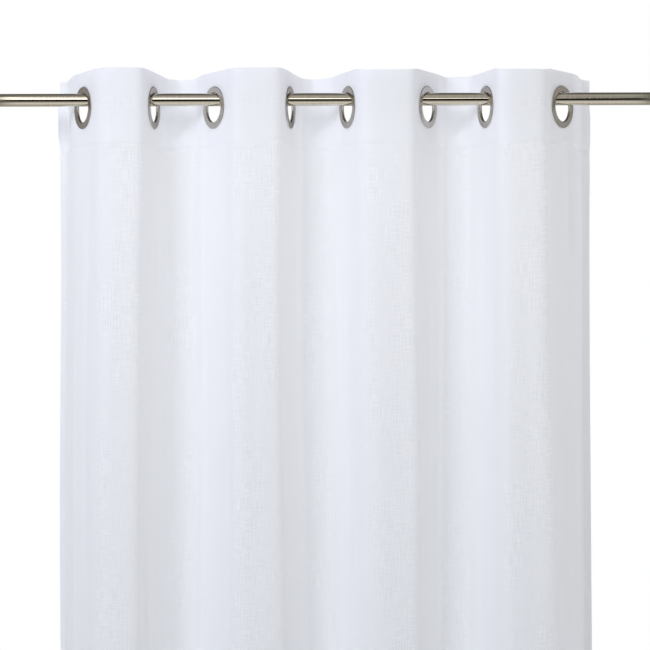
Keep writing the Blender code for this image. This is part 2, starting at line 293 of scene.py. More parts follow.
def sag(u):
    first, last = EYELET_MARGIN, FLAT_WIDTH - EYELET_MARGIN
    if u < first:
        return ENDS[0][3] * smooth(first - FLAT_HALF, 0.0, u)
    if u > last:
        return ENDS[1][3] * smooth(last + FLAT_HALF, FLAT_WIDTH, u)
    k = min(int((u - first) / EYELET_PITCH), len(FOLDS) - 1)
    v = u - first - k * EYELET_PITCH
    a, b = FLAT_HALF, EYELET_PITCH - FLAT_HALF
    if not a < v < b:
        return 0.0
    w = min(v - a, b - v) / (b - a)
    return FOLDS[k][4] * smooth(0.0, 0.30, w)


# ------------------------------------------------ the cloth's finer relief
CENTRES = [EYELET_MARGIN + k * EYELET_PITCH for k in range(len(EYELETS))]


def crease_relief(u, z):
    h = 0.0
    for _, u_top, z_top, u_low, z_low, spread, height in CREASES:
        lu, lz = u_low - u_top, z_low - z_top
        length = math.hypot(lu, lz)
        t = ((u - u_top) * lu + (z - z_top) * lz) / (length * length)
        if not -0.05 < t < 1.05:
            continue
        across = ((u - u_top) * lz - (z - z_top) * lu) / length
        if abs(across) > 3.2 * spread:
            continue
        ends = smooth(0.0, 0.22, t) * smooth(1.0, 0.70, t)
        h += height * ends * math.exp(-(across / spread) ** 2)
    return h


def relief(u, z):
    """How far the cloth stands proud of its smooth line, towards the front."""
    near = min(math.hypot(u - c, z + EYELET_DROP) for c in CENTRES)
    free = smooth(0.0285, 0.0400, near)
    h = crease_relief(u, z) * free
    below = smooth(SEAM + 0.004, SEAM - 0.16, z)
    # the limp cloth below the heading ripples softly; the heading hardly does
    h += 0.0030 * below * noise.noise(Vector((u / 0.052, z / 0.62, 3.1)))
    h += 0.0012 * below * noise.noise(Vector((u / 0.021, z / 0.28, 7.7)))
    h += 0.0009 * (1 - below) * free * noise.noise(Vector((u / 0.040, z / 0.070, 1.3)))
    # the seam under the heading: a drawn-in line with small puckers about it
    d = z - SEAM
    h -= 0.00024 * math.exp(-(d / 0.0020) ** 2) * free
    h += 0.00022 * smooth(-0.0012, 0.0012, d) * free
    pucker = noise.noise(Vector((u / 0.0095, 4.4, 0.3))) + 0.6 * noise.noise(
        Vector((u / 0.021, 9.4, 0.7)))
    h += 0.0011 * pucker * math.exp(-abs(d) / (0.010 if d < 0 else 0.0050)) * free
    # the hems' stitched lines
    for edge in (u - SIDE_HEM, FLAT_WIDTH - SIDE_HEM - u, z - HEM - BOTTOM_HEM):
        h -= 0.00030 * math.exp(-(edge / 0.0014) ** 2)
    return h


def thickness(u, z):
    side = min(u, FLAT_WIDTH - u)
    thick = VOILE_THICK
    hem = max(smooth(SIDE_HEM + 0.0010, SIDE_HEM - 0.0004, side),
              smooth(HEM + BOTTOM_HEM + 0.0012, HEM + BOTTOM_HEM - 0.0004, z))
    return thick + (HEM_THICK - VOILE_THICK) * hem


def softened(z, u):
    """The cloth's line with its corners eased; the flats round the eyelets and
    the free edges stay as they are."""
    k = (u - EYELET_MARGIN) / EYELET_PITCH
    n = min(max(int(k), 0), len(EASES) - 2)
    ease = EASES[n] + (EASES[n + 1] - EASES[n]) * smooth(0.30, 0.70, k - n)
    away = max(min(abs(u - c) for c in CENTRES) - 0.0225, 0.0)
    # below the flanges, and above them, the whole cloth may round off
    away += 0.030 * smooth(-0.041, -0.085, z) + 0.012 * smooth(0.019, 0.034, z)
    reach = min(ease * (1 + 0.5 * smooth(0.019, 0.036, z)), away, u, FLAT_WIDTH - u)
    if reach < 1e-5:
        return place(z, u)
    x = y = a = 0.0
    for step, weight in ((-1.0, 1), (-0.67, 2), (-0.33, 3), (0.0, 4), (0.33, 3), (0.67, 2),
                         (1.0, 1)):
        px, py, pa = place(z, u + step * reach)
        x, y, a = x + px * weight / 16, y + py * weight / 16, a + pa * weight / 16
    return x, y, a


def surface(u, z):
    """The point of the cloth's middle surface at (u, z), and its front normal."""
    x, y, a = softened(z, u)
    x -= DRIFT * smooth(LOW_START, LOW_END, z)
    out = Vector((math.sin(a), -math.cos(a), 0.0))
    return Vector((x, y, z - sag(u))) + out * relief(u, z), out


# ------------------------------------------------ grids
def spread_columns(first, last):
    """Cloth distances of the columns from first to last: even cells in each flat
    square round an eyelet and between two of them."""
    marks = [first]
    for c in CENTRES:
        marks += [c - FLAT_HALF, c + FLAT_HALF]
    marks.append(last)
    us = []
    for n, (a, b) in enumerate(zip(marks, marks[1:])):
        cells = HOLE_CELLS if n % 2 else (END_CELLS if n in (0, len(marks) - 2) else GAP_CELLS)
        for i in range(cells):
            t = i / cells
            if n == 0:                     # closer together at the side edge
                t = t ** 1.35
            elif n == len(marks) - 2:
                t = 1 - (1 - t) ** 1.35
            us.append(a + (b - a) * t)
    return us + [last]


def hole_rows():
    low = -EYELET_DROP - FLAT_HALF
    return [low + 2 * FLAT_HALF * (1 - i / HOLE_CELLS) for i in range(HOLE_CELLS + 1)]


def squared(u, z):
    """In the flat square round an eyelet the grid's squares turn into rings, so
    the cut edge is round.  Returns the new (u, z) and whether it is cut away."""
    for c in CENTRES:
        du, dz = u - c, z + EYELET_DROP
        m = max(abs(du), abs(dz))
        if m < FLAT_HALF + 1e-7:
            cut = FLAT_HALF * HOLE_OPEN * 2 / HOLE_CELLS
            if m < cut - 1e-6:
                return u, z, True
            t = min(max((m - cut) / (FLAT_HALF - cut), 0.0), 1.0)
            r = math.hypot(du, dz)
            k = HOLE_EDGE / r * (1 - t) + t
            return c + du * k, -EYELET_DROP + dz * k, False
    return u, z, False


def new_object(name, mesh, mat):
    obj = bpy.data.objects.new(name, mesh)
    bpy.context.scene.collection.objects.link(obj)
    mesh.materials.append(mat)
    return obj


def closed_sheet(name, us, zs, offset, thick, mat):
    """A thin closed sheet over the columns us and rows zs.  offset is how far
    its middle lies behind the cloth's middle surface, thick its thickness at
    (u, z).  The eyelets' holes are left open."""
    n, m = len(us), len(zs)
    spots = [[squared(u, z) for u in us] for z in zs]
    mids = np.zeros((m, n, 3))
    for j in range(m):
        for i in range(n):
            u, z, _ = spots[j][i]
            mids[j, i] = surface(u, z)[0]
    du = np.gradient(mids, axis=1)
    dz = np.gradient(mids, axis=0)           # rows run downwards
    out = np.cross(dz, du)
    out /= np.linalg.norm(out, axis=2, keepdims=True)
    if out[m // 2, n // 2].dot(np.array(surface(us[n // 2], zs[m // 2])[1])) < 0:
        out = -out
    keep = [[not any(spots[b][a][2] for a, b in ((i, j), (i + 1, j), (i, j + 1), (i + 1, j + 1)))
             for i in range(n - 1)] for j in range(m - 1)]
    bm = bmesh.new()
    uv = bm.loops.layers.uv.new("cloth_uv")
    made = {}

    def vert(i, j, side):
        key = (i, j, side)
        if key not in made:
            u, z, _ = spots[j][i]
            half = thick(u, z) / 2 * (1 if side == 0 else -1)
            made[key] = bm.verts.new(mids[j, i] + out[j, i] * (half - offset))
        return made[key]

    def face(corners):
        f = bm.faces.new([vert(*c) for c in corners])
        f.smooth = True
        for loop, (i, j, _) in zip(f.loops, corners):
            u, z, _ = spots[j][i]
            loop[uv].uv = (u, PANEL_TOP - z)

    for j in range(m - 1):
        for i in range(n - 1):
            if not keep[j][i]:
                continue
            a, b, c, d = (i, j), (i, j + 1), (i + 1, j + 1), (i + 1, j)
            face([(*a, 0), (*b, 0), (*c, 0), (*d, 0)])
            face([(*a, 1), (*d, 1), (*c, 1), (*b, 1)])
            for (p, q), (di, dj) in (((a, b), (-1, 0)), ((b, c), (0, 1)),
                                     ((c, d), (1, 0)), ((d, a), (0, -1))):
                ii, jj = i + di, j + dj
                beyond = 0 <= ii < n - 1 and 0 <= jj < m - 1 and keep[jj][ii]
                if not beyond:
                    face([(*q, 0), (*p, 0), (*p, 1), (*q, 1)])
    mesh = bpy.data.meshes.new(name)
    bm.to_mesh(mesh)
    bm.free()
    mesh.set_sharp_from_angle(angle=math.radians(50))
    return new_object(name, mesh, mat)


def turned(name, profile, sides, place_at, mat):
    """A ring turned from a closed profile of (radius, height) points."""
    bm = bmesh.new()
    uv = bm.loops.layers.uv.new("turn_uv")
    loops = []
    for i in range(sides):
        a = math.pi / 2 + 2 * math.pi * i / sides
        loops.append([bm.verts.new((r * math.cos(a), r * math.sin(a), h)) for r, h in profile])
    runs_to = [0.0]
    for p, q in zip(profile, profile[1:] + profile[:1]):
        runs_to.append(runs_to[-1] + math.hypot(q[0] - p[0], q[1] - p[1]))
    m = len(profile)
    for i in range(sides):
        p, q = loops[i], loops[(i + 1) % sides]
        for j in range(m):
            k = (j + 1) % m
            f = bm.faces.new((p[j], q[j], q[k], p[k]))
            f.smooth = True
            arc = 2 * math.pi * EYELET_RADIUS / sides
            for loop, c in zip(f.loops, ((i, j), (i + 1, j), (i + 1, j + 1), (i, j + 1))):
                loop[uv].uv = (c[0] * arc, runs_to[c[1]])
    bmesh.ops.recalc_face_normals(bm, faces=bm.faces)
    mesh = bpy.data.meshes.new(name)
    bm.to_mesh(mesh)
    bm.free()
    mesh.set_sharp_from_angle(angle=math.radians(50))
    obj = new_object(name, mesh, mat)
    obj.matrix_world = place_at
    return obj


def eyelet_frame(k):
    x, lean = EYELETS[k][1:3]
    a = math.radians(lean)
    out = Vector((math.sin(a), -math.cos(a), 0.0))
    up = Vector((0.0, 0.0, 1.0))
    m = Matrix((up.cross(out), up, out)).transposed().to_4x4()
    m.translation = Vector((x, 0.0, -EYELET_DROP))
    return m


def arc_points(cx, cz, rx, rz, a0, a1, steps):
    return [(cx + rx * math.cos(math.radians(a0 + (a1 - a0) * i / steps)),
             cz + rz * math.sin(math.radians(a0 + (a1 - a0) * i / steps)))
            for i in range(steps + 1)]


# ------------------------------------------------ material helpers
class Nodes:
    """A short way to write a material's nodes."""

    def __init__(self, name):
        self.mat = bpy.data.materials.new(name)
        self.mat.use_nodes = True
        self.tree = self.mat.node_tree
        self.tree.nodes.clear()

    def add(self, kind, settings=None, **inputs):
        node = self.tree.nodes.new(kind)
        for key, value in (settings or {}).items():
            setattr(node, key, value)
        for key, value in inputs.items():
            socket = node.inputs[int(key[1:])] if key[0] == "i" and key[1:].isdigit() else \
                node.inputs[key.replace("_", " ")]
            if isinstance(value, bpy.types.NodeSocket):
                self.tree.links.new(value, socket)
            else:
                socket.default_value = value
        return node

    def math(self, operation, a, b=0.0, c=0.0, clamp=False):
        return self.add("ShaderNodeMath", {"operation": operation, "use_clamp": clamp},
                        i0=a, i1=b, i2=c).outputs[0]

    def ramp(self, value, low, high, to_low=0.0, to_high=1.0, soft=True):
        node = self.add("ShaderNodeMapRange",
                        {"interpolation_type": "SMOOTHSTEP" if soft else "LINEAR"},
                        i0=value, i1=low, i2=high, i3=to_low, i4=to_high)
        return node.outputs[0]

    def stretched(self, coords, wide, high, seed, detail=1.0):
        """Noise whose marks are about wide by high, in metres of cloth."""
        scaled = self.add("ShaderNodeMapping", {"vector_type": "POINT"}, Vector=coords,
                          Location=(seed, seed * 1.7, seed * 0.3),
                          Scale=(1 / wide, 1 / high, 1.0)).outputs[0]
        return self.add("ShaderNodeTexNoise", {"noise_dimensions": "2D"}, Vector=scaled,
                        Scale=1.0, Detail=detail, Roughness=0.5).outputs[0]

    def tint(self, colour, factor):
        """The colour times the factor."""
        return self.add("ShaderNodeVectorMath", {"operation": "SCALE"}, i0=colour,
                        Scale=factor).outputs[0]

    def done(self, shader):
        self.add("ShaderNodeOutputMaterial", Surface=shader)
        return self.mat


# ------------------------------------------------ cloth materials
#               red     green   blue
VOILE_COLOUR = (0.987, 0.988, 0.989)
# the heading's white is made lighter still than the body's: painted light, so that its shaded folds
# and flanks look as bright as its fronts
HEADING_COLOUR_AND_PAINTED_LIGHT = (0.995, 0.997, 0.999)
VOILE_COVER = 0.80        # the share of one face of the voile that is thread
HEADING_COVER = 0.88
SLUB_COVER = 0.047        # how much more of it is thread along a slub
STRIP_COVER = 0.25        # the strip behind the heading is an open, stiff mesh
VOILE_GLOW = 0.50         # the share of its scattered light that goes through
HEADING_GLOW = 0.50
STRIP_GLOW = 0.50


def cloth_material(name, strip):
    """strip: the band behind the heading, all in the heading's closer cloth."""
    n = Nodes(name)
    coords = n.add("ShaderNodeUVMap", {"uv_map": "cloth_uv"}).outputs[0]
    parts = n.add("ShaderNodeSeparateXYZ", Vector=coords)
    u, v = parts.outputs[0], parts.outputs[1]

    # slubs: thicker stretches of single threads, both ways, in loose patches
    across = n.stretched(coords, 0.0150, 0.00160, 3.0, 0.0)
    down = n.stretched(coords, 0.00160, 0.0240, 11.0, 0.0)
    cloud = n.stretched(coords, 0.060, 0.130, 23.0, 1.0)
    patch = n.ramp(cloud, 0.40, 0.62, 0.30, 1.0)
    # they show most on the folds' flat faces
    turn = n.math("FRACT", n.math("DIVIDE", n.math("SUBTRACT", u, EYELET_MARGIN),
                                  2 * EYELET_PITCH))
    before = n.ramp(n.math("ABSOLUTE", n.math("SUBTRACT", turn, 0.25)), 0.125, 0.070)
    behind = n.ramp(n.math("ABSOLUTE", n.math("SUBTRACT", turn, 0.75)), 0.095, 0.055, 0.0, 0.4)
    patch = n.math("MULTIPLY", patch, n.math("ADD", n.math("ADD", before, behind), 0.10,
                                             clamp=True))
    # the signed sum: thick threads above 0, thin ones below
    strong = n.math("ADD", n.math("SUBTRACT", across, 0.5), n.math("SUBTRACT", down, 0.5))
    slub = 0.0
    for threads, much in ((across, 0.7), (down, 1.0)):
        slub = n.math("ADD", slub, n.math("SUBTRACT", n.ramp(threads, 0.56, 0.76, 0.0, much),
                                          n.ramp(threads, 0.44, 0.24, 0.0, much)))
    slub = n.math("MULTIPLY", slub, patch)
    if strip:
        calm = 0.15
        # the strip behind takes the heading's lighter colour, painted light as on the heading
        base = n.add("ShaderNodeRGB").outputs[0]
        base.default_value = HEADING_COLOUR_AND_PAINTED_LIGHT + (1.0,)
        own, share = STRIP_COVER, STRIP_GLOW
    else:
        heading = n.ramp(v, BAND_DROP + 0.0006, BAND_DROP - 0.0006)
        calm = n.ramp(n.math("ABSOLUTE", n.math("SUBTRACT", v, 0.044)), 0.012, 0.007, 0.12, 0.50)
        calm = n.math("ADD", n.math("MULTIPLY", calm, heading), n.math("SUBTRACT", 1.0, heading))
        # the heading gets the lighter colour: painted light on its shaded folds and flanks
        mix = n.add("ShaderNodeMix", {"data_type": "RGBA"}, i0=heading,
                    i6=VOILE_COLOUR + (1.0,), i7=HEADING_COLOUR_AND_PAINTED_LIGHT + (1.0,))
        base = mix.outputs[2]
        side = n.math("ABSOLUTE", n.math("SUBTRACT", u, FLAT_WIDTH / 2))
        hems = n.math("MAXIMUM", n.ramp(side, FLAT_WIDTH / 2 - SIDE_HEM - 0.0004,
                                        FLAT_WIDTH / 2 - SIDE_HEM + 0.0004),
                      n.ramp(v, FLAT_DROP - BOTTOM_HEM - 0.0004, FLAT_DROP - BOTTOM_HEM + 0.0004))
        own = n.ramp(heading, 0.0, 1.0, VOILE_COVER, HEADING_COVER, soft=False)
        own = n.math("ADD", own, n.math("MULTIPLY", hems, 0.06))
        share = n.ramp(heading, 0.0, 1.0, VOILE_GLOW, HEADING_GLOW, soft=False)
    slub = n.math("MULTIPLY", slub, calm)
    cover = n.math("ADD", own, n.math("MULTIPLY", slub, SLUB_COVER), clamp=True)

    # machine stitches along the seam under the heading and along the hems
    seam, foot = BAND_DROP - 0.0016, FLAT_DROP - BOTTOM_HEM + 0.0012
    away = n.math("ABSOLUTE", n.math("SUBTRACT", v, (seam + foot) / 2))
    away = n.math("ABSOLUTE", n.math("SUBTRACT", away, (foot - seam) / 2))
    if not strip:
        hem_line = n.math("SUBTRACT", side, FLAT_WIDTH / 2 - SIDE_HEM + 0.0012)
        away = n.math("MINIMUM", away, n.math("ABSOLUTE", hem_line))
    phase = n.math("FRACT", n.math("DIVIDE", n.math("ADD", u, v), 0.0030))
    phase = n.math("ABSOLUTE", n.math("SUBTRACT", phase, 0.5))
    sewn = n.math("MULTIPLY", n.ramp(away, 0.0006, 0.0003), n.ramp(phase, 0.45, 0.36))

    # how light the threads are
    tone = n.math("ADD", n.math("MULTIPLY", cloud, 0.004), 0.998)
    tone = n.math("SUBTRACT", tone, n.math("MULTIPLY", sewn, 0.02))
    colour = n.tint(base, tone)

    height = n.math("SUBTRACT", n.math("MULTIPLY", strong, calm), sewn)
    bump = n.add("ShaderNodeBump", Strength=0.015, Distance=0.00022, Height=height).outputs[0]
    front = n.add("ShaderNodeBsdfPrincipled", Base_Color=colour, Roughness=0.88, Normal=bump)
    front.inputs["Specular IOR Level"].default_value = 0.0
    through = n.add("ShaderNodeBsdfTranslucent", Color=colour, Normal=bump)
    thread_light = n.add("ShaderNodeMixShader", i0=share, i1=front.outputs[0],
                         i2=through.outputs[0])
    gaps = n.add("ShaderNodeBsdfTransparent")
    mixed = n.add("ShaderNodeMixShader", i0=cover, i1=gaps.outputs[0],
                  i2=thread_light.outputs[0])
    return n.done(mixed.outputs[0])


# ------------------------------------------------ metal materials
def nickel_material(name):
    n = Nodes(name)
    coords = n.add("ShaderNodeUVMap", {"uv_map": "turn_uv"}).outputs[0]
    turned_marks = n.stretched(coords, 0.012, 0.00022, 5.0, 1.0)
    haze = n.stretched(coords, 0.008, 0.004, 9.0, 3.0)
    base = n.add("ShaderNodeRGB").outputs[0]
    base.default_value = (0.660, 0.630, 0.590, 1.0)
    tone = n.math("ADD", n.math("MULTIPLY", n.math("SUBTRACT", turned_marks, 0.5), 0.05), 1.0)
    tone = n.math("ADD", tone, n.math("MULTIPLY", n.math("SUBTRACT", haze, 0.5), 0.05))
    rough = n.ramp(haze, 0.25, 0.75, 0.20, 0.26)
    bump = n.add("ShaderNodeBump", Strength=0.06, Distance=0.00004, Height=turned_marks).outputs[0]
    shader = n.add("ShaderNodeBsdfPrincipled", Base_Color=n.tint(base, tone), Metallic=1.0,
                   Roughness=rough, Normal=bump)
    # the satin finish keeps its steep reflections dull
    shader.inputs["Specular Tint"].default_value = (0.34, 0.33, 0.31, 1.0)
    return n.done(shader.outputs[0])


def steel_material(name):
    n = Nodes(name)
    coords = n.add("ShaderNodeUVMap", {"uv_map": "rod_uv"}).outputs[0]
    fine = n.stretched(coords, 0.0013, 0.020, 2.0, 0.0)
    wide = n.stretched(coords, 0.0040, 0.030, 6.0, 1.0)
    base = n.add("ShaderNodeRGB").outputs[0]
    base.default_value = (0.660, 0.625, 0.540, 1.0)
    marks = n.math("ADD", n.math("MULTIPLY", n.math("SUBTRACT", fine, 0.5), 0.16),
                   n.math("MULTIPLY", n.math("SUBTRACT", wide, 0.5), 0.06))
    rough = n.ramp(n.math("ADD", marks, 0.5), 0.25, 0.75, 0.05, 0.12)
    bump = n.add("ShaderNodeBump", Strength=0.20, Distance=0.00003, Height=fine).outputs[0]
    tangent = n.add("ShaderNodeTangent", {"direction_type": "UV_MAP", "uv_map": "rod_uv"})
    shader = n.add("ShaderNodeBsdfPrincipled", Base_Color=n.tint(base, n.math("ADD", marks, 1.0)),
                   Metallic=1.0, Roughness=rough, Normal=bump, Tangent=tangent.outputs[0])
    shader.inputs["Anisotropic"].default_value = 0.75
    return n.done(shader.outputs[0])


def floor_material(name):
    n = Nodes(name)
    where = n.add("ShaderNodeTexCoord").outputs["Object"]
    grain = n.add("ShaderNodeTexNoise", Vector=where, Scale=3.0, Detail=4.0).outputs[0]
    base = n.add("ShaderNodeRGB").outputs[0]
    base.default_value = (0.95, 0.95, 0.95, 1.0)
    tone = n.math("ADD", n.math("MULTIPLY", n.math("SUBTRACT", grain, 0.5), 0.02), 1.0)
    shader = n.add("ShaderNodeBsdfPrincipled", Base_Color=n.tint(base, tone), Roughness=0.9)
    return n.done(shader.outputs[0])


# ------------------------------------------------ the pieces
def panel_rows():
    """Heights of the panel's rows, closest at the heading and its seam."""
    zs = [PANEL_TOP, PANEL_TOP - 0.0012]
    top = hole_rows()
    zs += [PANEL_TOP - 0.0050, PANEL_TOP - 0.0095, PANEL_TOP - 0.0135]
    zs += top
    for step in (0.0048, 0.0045, 0.0036, 0.0026, 0.0018, 0.0012, 0.0012, 0.0012, 0.0018,
                 0.0028, 0.0040, 0.0050, 0.0060, 0.0070, 0.0080, 0.0090):
        zs.append(zs[-1] - step)
    step = 0.0100
    last = HEM + BOTTOM_HEM + 0.012
    while zs[-1] - step > last:
        zs.append(zs[-1] - step)
        step = min(step * 1.035, 0.0400)
    zs += [last - 0.0015, HEM + BOTTOM_HEM + 0.0020, HEM + BOTTOM_HEM, HEM + BOTTOM_HEM - 0.0020]
    for t in (0.25, 0.5, 0.75, 0.93, 1.0):
        zs.append(HEM + BOTTOM_HEM - 0.0020 + (-(BOTTOM_HEM - 0.0020)) * t)
    return zs


def build_cloth(mats):
    us = spread_columns(0.0, FLAT_WIDTH)
    panel = closed_sheet("voile_panel", us, panel_rows(), 0.0, thickness, mats["voile"])
    band_us = spread_columns(BAND_INSET, FLAT_WIDTH - BAND_INSET)
    top = PANEL_TOP - 0.0015
    band_zs = [top, top - 0.0030, top - 0.0080, top - 0.0120] + hole_rows()
    band_zs += [band_zs[-1] - d for d in (0.0060, 0.0110, 0.0150, 0.0180)]
    band_zs.append(SEAM)
    band = closed_sheet("heading_strip", band_us, band_zs, STRIP_BEHIND,
                        lambda u, z: STRIP_THICK, mats["heading"])
    return panel, band


def build_eyelets(mats):
    base = VOILE_THICK / 2 + 0.0003
    tail = -(STRIP_BEHIND + STRIP_THICK / 2 + GAP)
    top = base + 0.0013                          # pressed sheet: lower than the solid
    foot = tail - 0.0007                         # and its washer thinner
    bore, barrel, rim = EYELET_BORE, EYELET_BARREL, EYELET_RADIUS
    seat = VOILE_THICK / 2 + 0.00005             # the flange bites down on the cloth
    roll = foot - 0.0002
    front = []
    # up the barrel's inside, over its rounded mouth
    front += [(bore + 0.0008, roll - 0.0001), (bore + 0.0003, roll + 0.0004), (bore, roll + 0.0010)]
    front += [(bore, (base + tail) / 2)]
    front += arc_points(bore + 0.0012, top - 0.0011, 0.0012, 0.0011, 180, 90, 8)
    # the slightly sloping flange and its turned-down rim
    for t in (0.25, 0.5, 0.75, 1.0):
        r = bore + 0.0012 + (rim - 0.0009 - bore - 0.0012) * t
        front.append((r, top - 0.00040 * t))
    front += arc_points(rim - 0.0009, base + 0.0001, 0.0009, top - 0.00040 - base - 0.0001,
                        80, 0, 7)
    front += [(rim - 0.0001, seat + 0.0002), (rim - 0.0006, seat)]
    front += [(barrel + 0.0004, seat), (barrel, seat - 0.0004)]
    # down the barrel's outside, rolled over the washer's inner edge
    front += [(barrel, foot + 0.0003)]
    front += arc_points(barrel + 0.0003, roll + 0.0002, 0.0008, 0.0005, 80, -90, 6)
    back = [(HOLE_RADIUS, tail)]
    back += [(rim - 0.0006, tail)]
    back += arc_points(rim - 0.0008, tail - 0.0004, 0.0008, 0.0004, 60, -60, 5)
    back += [(rim - 0.0024, foot + 0.0001), (rim - 0.0036, foot)]
    back += [(HOLE_RADIUS + 0.0014, foot), (HOLE_RADIUS + 0.0004, foot + 0.0001),
             (HOLE_RADIUS, foot + 0.0004)]
    made = []
    for k, row in enumerate(EYELETS):
        number = k + 1
        shell = turned("eyelet_shell_%d" % number, front, 72, eyelet_frame(k), mats["nickel"])
        washer = turned("eyelet_washer_%d" % number, back, 72, eyelet_frame(k), mats["nickel"])
        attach(shell, "root")
        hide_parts(row[0])
        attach(washer, "root")
        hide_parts("eyelet_back_%d" % number)
        made += [shell, washer]
    return made


def build_rod(mats):
    bm = bmesh.new()
    uv = bm.loops.layers.uv.new("rod_uv")
    sides = 96
    r, c = ROD_DIAMETER / 2, ROD_CHAMFER
    stations = [(0.0, 0.0012), (0.0, r - c)]
    stations += [(c - c * math.cos(math.radians(a)), r - c + c * math.sin(math.radians(a)))
                 for a in (22.5, 45, 67.5, 90)]
    stations += [(ROD_LENGTH * t, r) for t in (0.1, 0.2, 0.3, 0.4, 0.5, 0.6, 0.7, 0.8, 0.9)]
    stations += [(ROD_LENGTH - x, rr) for x, rr in reversed(stations[:6])]
    rings = [[bm.verts.new((x, -rr * math.cos(2 * math.pi * i / sides),
                            rr * math.sin(2 * math.pi * i / sides))) for i in range(sides)]
             for x, rr in stations]
    for s in range(len(rings) - 1):
        a, b = rings[s], rings[s + 1]
        for i in range(sides):
            j = (i + 1) % sides
            f = bm.faces.new((a[i], b[i], b[j], a[j]))
            f.smooth = True
            for loop, (t, q) in zip(f.loops, ((s, i), (s + 1, i), (s + 1, i + 1), (s, i + 1))):
                x, rr = stations[t]
                loop[uv].uv = (x + (0.0 if rr > r - c else (rr - r)), 2 * math.pi * r * q / sides)
    for ring in (rings[0], rings[-1]):
        bm.faces.new(ring)
    bmesh.ops.recalc_face_normals(bm, faces=bm.faces)
    mesh = bpy.data.meshes.new("rod_bar")
    bm.to_mesh(mesh)
    bm.free()
    mesh.set_sharp_from_angle(angle=math.radians(60))
    rod = new_object("rod_bar", mesh, mats["steel"])
    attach(rod, "root")
    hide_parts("rod")
    return rod


# ------------------------------------------------ studio
EYE = Vector((0.49916, -2.6, -0.3006))
ROLL = 0.145              # degrees: the rod rises a little to the right
#           name        x      y      z      width  height  watts   red   green blue
LAMPS = (
    ("key",   -0.75, -1.55,  +0.42,  0.55,  0.55,   6.9, 0.80, 0.78, 1.00),
    ("high",  -0.25, -1.90,  +0.60,  0.70,  0.70,  17.7, 0.86, 0.89, 1.00),
    ("right",  1.10, -1.20,  +0.30,  0.50,  0.50,   1.1, 1.00, 0.90, 0.66),
    ("over",   0.50, -0.10,  +0.50,  1.00,  0.20,   1.3, 0.80, 0.74, 1.00),
)
# the dome that lights the cloth: its soft lobes, each aimed from (x, y, z) and
# the narrower the higher its power
#           name          x       y       z      power  red    green  blue
DOME = (
    ("left",         -1.000,  0.000,  0.000,  1.0,  0.35,  0.35,  0.39),
    ("right",        +1.000,  0.000,  0.000,  1.0,  0.53,  0.50,  0.55),
    ("back",          0.000, +1.000,  0.000,  1.0,  0.58,  0.56,  0.63),
    ("up",            0.000,  0.000, +1.000,  1.0,  0.05,  0.09,  0.05),
    ("down",          0.000,  0.000, -1.000,  1.0,  1.54,  1.63,  1.44),
    ("back_right",   +0.492, +0.853, +0.174,  6.0,  0.57,  0.66,  0.80),
)
# what the metal mirrors, as the height it lies at going round the rod: 0 is the
# level in front, 90 overhead, 180 the level behind, -90 straight below
#            at     grey
MIRRORED = (
    (-180.0, 0.62),
    (-150.0, 0.52),
    (-130.0, 0.42),
    (-110.0, 0.55),
    (-86.0, 0.66),
    (-65.0, 0.98),
    (-48.0, 0.62),
    (-37.0, 0.38),
    (-29.0, 0.16),
    (-23.0, 0.00),
    (1.0, 0.00),
    (9.0, 0.20),
    (18.0, 0.40),
    (40.0, 0.42),
    (52.0, 0.54),
    (64.0, 0.46),
    (76.0, 0.36),
    (90.0, 0.22),
    (106.0, 0.13),
    (140.0, 0.13),
    (158.0, 0.36),
    (180.0, 0.62),
)
# the strip lamp over the viewer: its lower and upper edge, and how its upper
# edge rises to the left (degrees for a whole turn sideways) until it ends
#              low   high  rise_left  rise_right  ends_at  bright
STRIP = dict(low=5.0, high=17.0, rise_left=172.0, rise_right=60.0, ends_at=0.115, bright=2.2)
# what lies to the sides, which only the eyelets mirror: behind the cloth for
# their flanges (darker above and below), before it for their barrels
#             greys of the flanges   darker by     barrels'  their glint
SIDES = dict(left=0.44, right=0.42, falloff=0.80, front=0.26, glint=0.75)


